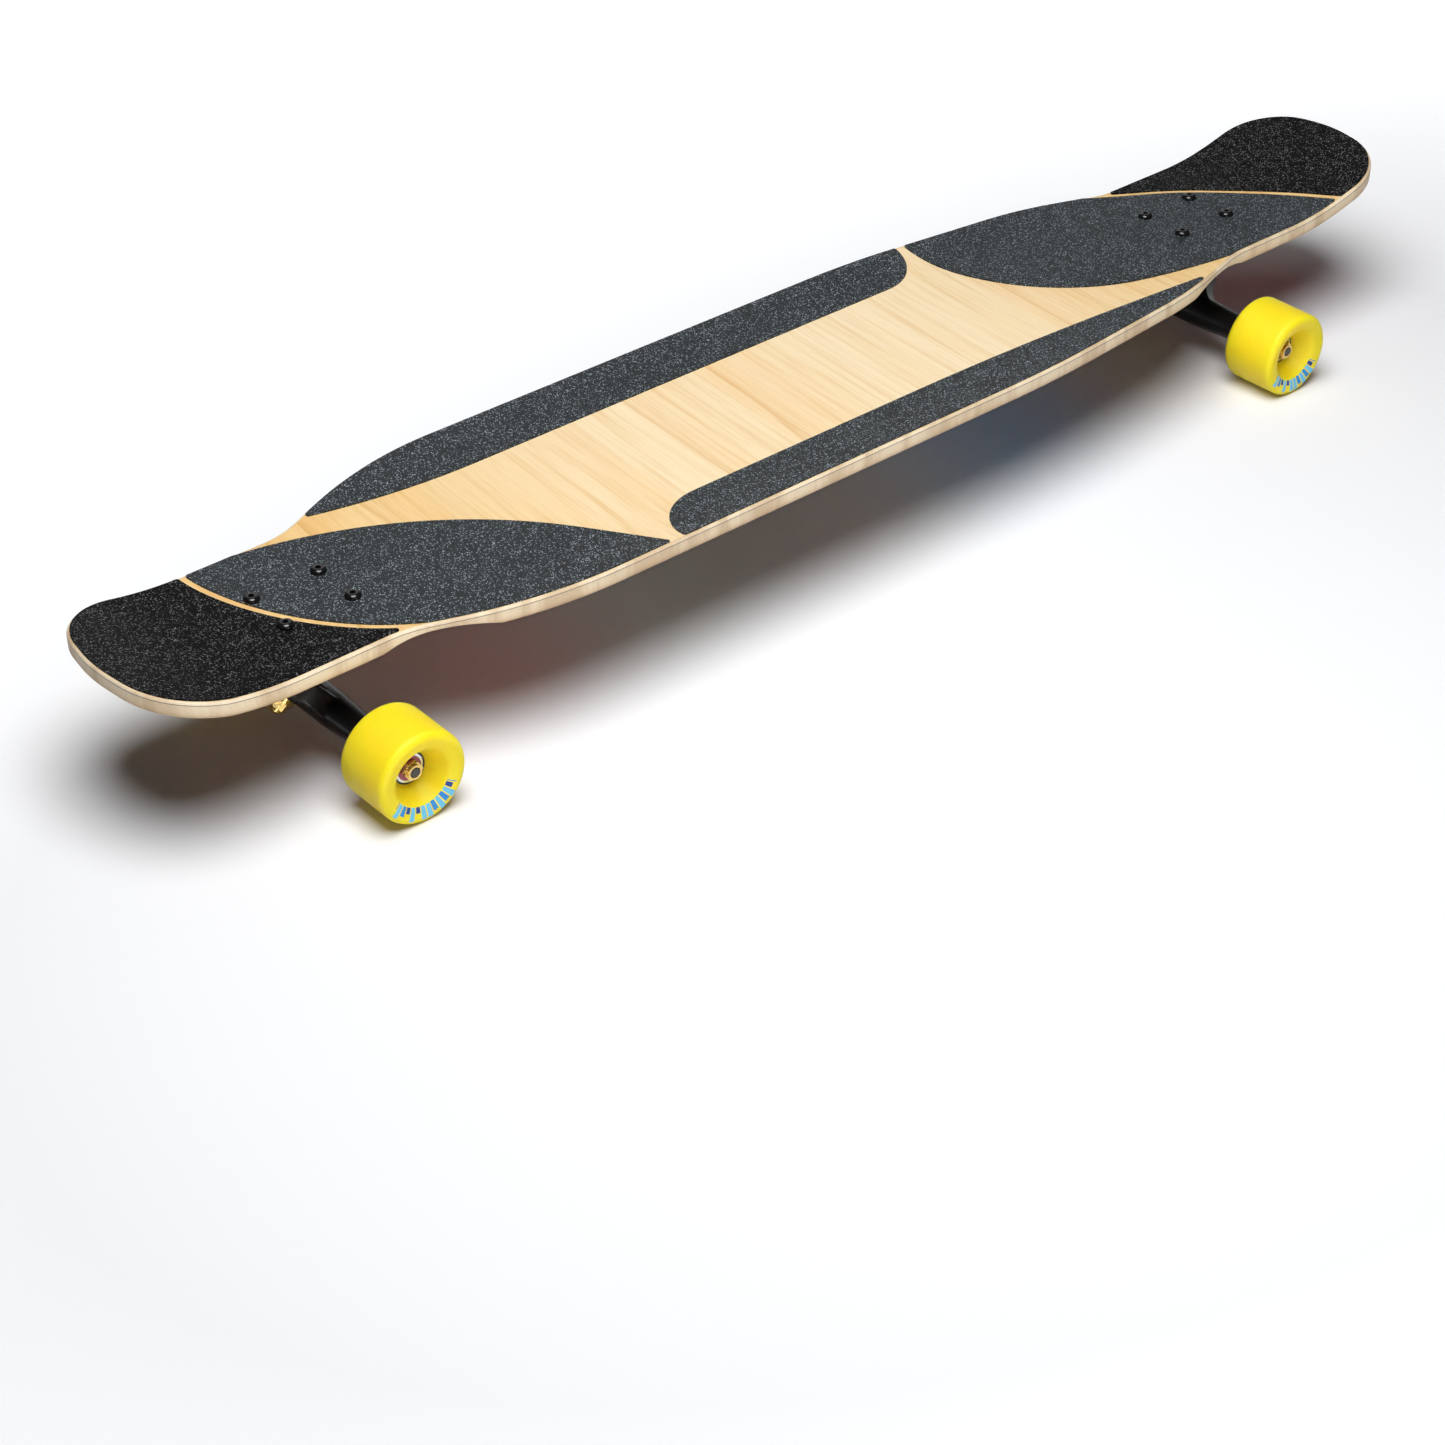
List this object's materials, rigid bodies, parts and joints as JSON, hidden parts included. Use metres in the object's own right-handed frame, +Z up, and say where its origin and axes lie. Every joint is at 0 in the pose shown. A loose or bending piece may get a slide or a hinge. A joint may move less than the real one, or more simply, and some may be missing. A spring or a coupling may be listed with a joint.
{
  "type": "skateboard",
  "caption": "Dancing longboard with a kicked, waisted bamboo deck, grip sheets, reverse-kingpin steering trucks and wide free-spinning wheels.",
  "frame": {"origin": "on the ground under the middle of the deck's length and width, with the board standing on its wheels", "axes": "+X towards the nose, +Y to the left of a rider who faces the nose, +Z up"},
  "size_m": [1.2254, 0.263, 0.1383],
  "materials": {
    "core_wood": "sealed laminated bamboo, pale edge",
    "top_bamboo": "clear satin lacquer",
    "bottom_bamboo": "printed and clear lacquered",
    "black_grip": "coarse abrasive sheet",
    "grey_grip": "coarse abrasive sheet",
    "black_steel": "black oxide",
    "black_aluminium": "satin black coat on a casting",
    "black_urethane": "matte",
    "bushing_urethane": "satin",
    "gold_steel": "bright yellow zinc plating",
    "dark_steel": "dark plating",
    "bearing_steel": "ground and polished",
    "mauve_shield": "satin",
    "yellow_urethane": "satin cast urethane",
    "black_core": "moulded"
  },
  "bodies": {
    "board": {"deck_bottom_veneer": "bottom_bamboo", "deck_core": "core_wood", "deck_top_veneer": "top_bamboo", "grip_left_strip": "grey_grip", "grip_nose": "black_grip", "grip_nose_truck": "grey_grip", "grip_right_strip": "grey_grip", "grip_tail": "black_grip", "grip_tail_truck": "grey_grip", "mount_bolts": "black_steel", "mount_nuts": "black_steel", "nose_baseplate": "black_aluminium", "nose_boardside_bushing": "bushing_urethane", "nose_boardside_washer": "gold_steel", "nose_kingpin": "gold_steel", "nose_kingpin_nut": "gold_steel", "nose_pivot_cup": "black_urethane", "nose_roadside_bushing": "bushing_urethane", "nose_roadside_washer": "gold_steel", "tail_baseplate": "black_aluminium", "tail_boardside_bushing": "bushing_urethane", "tail_boardside_washer": "gold_steel", "tail_kingpin": "gold_steel", "tail_kingpin_nut": "gold_steel", "tail_pivot_cup": "black_urethane", "tail_roadside_bushing": "bushing_urethane", "tail_roadside_washer": "gold_steel"},
    "nose_steering": {"nose_hanger": "black_aluminium", "nose_axle": "dark_steel", "nose_axle_nuts": "gold_steel", "nose_axle_washers": "dark_steel", "nose_bearing_spacers": "dark_steel", "nose_inner_races": "bearing_steel"},
    "nose_left_wheel": {"nose_left_tyre": "yellow_urethane", "nose_left_core": "black_core", "nose_left_outer_races": "bearing_steel", "nose_left_shields": "mauve_shield"},
    "nose_left_ball_set": {"nose_left_balls": "bearing_steel"},
    "nose_right_wheel": {"nose_right_tyre": "yellow_urethane", "nose_right_core": "black_core", "nose_right_outer_races": "bearing_steel", "nose_right_shields": "mauve_shield"},
    "nose_right_ball_set": {"nose_right_balls": "bearing_steel"},
    "tail_steering": {"tail_hanger": "black_aluminium", "tail_axle": "dark_steel", "tail_axle_nuts": "gold_steel", "tail_axle_washers": "dark_steel", "tail_bearing_spacers": "dark_steel", "tail_inner_races": "bearing_steel"},
    "tail_left_wheel": {"tail_left_tyre": "yellow_urethane", "tail_left_core": "black_core", "tail_left_outer_races": "bearing_steel", "tail_left_shields": "mauve_shield"},
    "tail_left_ball_set": {"tail_left_balls": "bearing_steel"},
    "tail_right_wheel": {"tail_right_tyre": "yellow_urethane", "tail_right_core": "black_core", "tail_right_outer_races": "bearing_steel", "tail_right_shields": "mauve_shield"},
    "tail_right_ball_set": {"tail_right_balls": "bearing_steel"}
  },
  "joints": [
    {"name": "nose_steer", "type": "hinge", "parent": "board", "child": "nose_steering", "pos_m": [0.44189, 0, 0.05185], "axis": [0.6428, 0, 0.766], "range_deg": [-18, 18], "stiffness_Nm_per_rad": 60, "deforming": ["nose_boardside_bushing", "nose_roadside_bushing"]},
    {"name": "tail_steer", "type": "hinge", "parent": "board", "child": "tail_steering", "pos_m": [-0.46639, 0, 0.05185], "axis": [-0.6428, 0, 0.766], "range_deg": [-18, 18], "stiffness_Nm_per_rad": 60, "deforming": ["tail_boardside_bushing", "tail_roadside_bushing"]},
    {"name": "nose_left_spin", "type": "hinge", "parent": "nose_steering", "child": "nose_left_wheel", "pos_m": [0.42775, 0, 0.035], "axis": [0, 1, 0], "continuous": true},
    {"name": "nose_right_spin", "type": "hinge", "parent": "nose_steering", "child": "nose_right_wheel", "pos_m": [0.42775, 0, 0.035], "axis": [0, 1, 0], "continuous": true},
    {"name": "tail_left_spin", "type": "hinge", "parent": "tail_steering", "child": "tail_left_wheel", "pos_m": [-0.45225, 0, 0.035], "axis": [0, 1, 0], "continuous": true},
    {"name": "tail_right_spin", "type": "hinge", "parent": "tail_steering", "child": "tail_right_wheel", "pos_m": [-0.45225, 0, 0.035], "axis": [0, 1, 0], "continuous": true},
    {"name": "nose_left_ball_orbit", "type": "hinge", "parent": "nose_steering", "child": "nose_left_ball_set", "pos_m": [0.42775, 0, 0.035], "axis": [0, 1, 0], "continuous": true},
    {"name": "nose_right_ball_orbit", "type": "hinge", "parent": "nose_steering", "child": "nose_right_ball_set", "pos_m": [0.42775, 0, 0.035], "axis": [0, 1, 0], "continuous": true},
    {"name": "tail_left_ball_orbit", "type": "hinge", "parent": "tail_steering", "child": "tail_left_ball_set", "pos_m": [-0.45225, 0, 0.035], "axis": [0, 1, 0], "continuous": true},
    {"name": "tail_right_ball_orbit", "type": "hinge", "parent": "tail_steering", "child": "tail_right_ball_set", "pos_m": [-0.45225, 0, 0.035], "axis": [0, 1, 0], "continuous": true}
  ],
  "couplings": [
    {"joint": "nose_left_ball_orbit", "follows": "nose_left_spin", "ratio": 0.632},
    {"joint": "nose_right_ball_orbit", "follows": "nose_right_spin", "ratio": 0.632},
    {"joint": "tail_left_ball_orbit", "follows": "tail_left_spin", "ratio": 0.632},
    {"joint": "tail_right_ball_orbit", "follows": "tail_right_spin", "ratio": 0.632}
  ]
}
